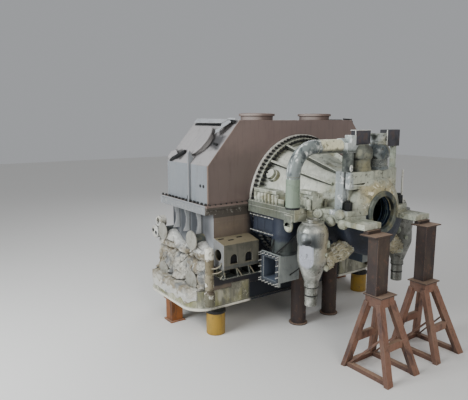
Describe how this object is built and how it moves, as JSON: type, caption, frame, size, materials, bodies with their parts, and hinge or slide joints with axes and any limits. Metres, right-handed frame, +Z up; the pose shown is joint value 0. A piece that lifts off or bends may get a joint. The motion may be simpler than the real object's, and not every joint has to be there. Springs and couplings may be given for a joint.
{
  "type": "steam turbine casing",
  "caption": "Horizontally split steam turbine casing with exhaust hood, ring flange, inlet and stop valves, elbow pipe and lagged branches, resting on columns, trestles and posts.",
  "frame": {"origin": "on the floor, under the middle of the part's box; the shaft axis passes over it at 3.55 m", "axes": "+Z up, +Y along the shaft axis from the high pressure end towards the exhaust hood, +X to the right seen from the high pressure end"},
  "size_m": [7.42, 7.5764, 6.0303],
  "materials": {
    "hood_paint": "brown grey primer, matt, dusty",
    "neck_paint": "cream paint with yellow green stains",
    "casting_paint": "mottled beige and green grey paint, half gloss",
    "dark_casting": "dark blue grey casting",
    "valve_paint": "silver and tan heat paint",
    "lagging": "frayed fibrous insulation",
    "wrapping": "cream crumpled sheeting round blanked stubs",
    "steel": "silver grey pipe with greenish lower leg",
    "primer": "dark red brown primer",
    "trestle_primer": "red brown primer, worn",
    "post_paint": "yellow paint, worn"
  },
  "bodies": {
    "root": {"upper_exhaust_hood": "hood_paint", "lower_exhaust_hood": "hood_paint", "exhaust_neck": "neck_paint", "rear_gland_housing": "casting_paint", "left_neck_cover": "neck_paint", "right_neck_cover": "neck_paint", "left_relief_stub": "hood_paint", "right_relief_stub": "hood_paint", "left_relief_cover": "hood_paint", "right_relief_cover": "hood_paint", "upper_hood_ring": "casting_paint", "lower_hood_ring": "casting_paint", "upper_intermediate_casing": "casting_paint", "lower_intermediate_casing": "dark_casting", "upper_front_casing": "casting_paint", "lower_front_casing": "dark_casting", "front_gland_collar": "casting_paint", "left_valve_tower": "casting_paint", "right_valve_tower": "casting_paint", "left_valve_box": "primer", "right_valve_cap": "casting_paint", "left_inlet_block": "casting_paint", "right_inlet_block": "primer", "inlet_elbow_pipe": "steel", "right_drop_pipe": "casting_paint", "left_stop_valve": "valve_paint", "right_stop_valve": "valve_paint", "left_lagged_branch": "lagging", "right_lagged_branch": "lagging", "left_extraction_nozzle": "dark_casting", "right_extraction_nozzle": "dark_casting", "left_extraction_duct": "casting_paint", "right_extraction_duct": "casting_paint", "left_hood_foot": "hood_paint", "right_hood_foot": "hood_paint", "left_foot_girder": "hood_paint", "right_foot_girder": "hood_paint", "left_steam_connections": "wrapping", "right_steam_connections": "wrapping", "left_corner_pipe": "neck_paint", "right_corner_pipe": "neck_paint", "left_hood_post": "post_paint", "right_hood_post": "post_paint", "left_rear_stand": "post_paint", "right_rear_stand": "post_paint", "left_middle_post": "primer", "right_middle_post": "primer", "left_column": "primer", "right_column": "primer", "left_trestle": "trestle_primer", "right_trestle": "trestle_primer"}
  },
  "joints": []
}
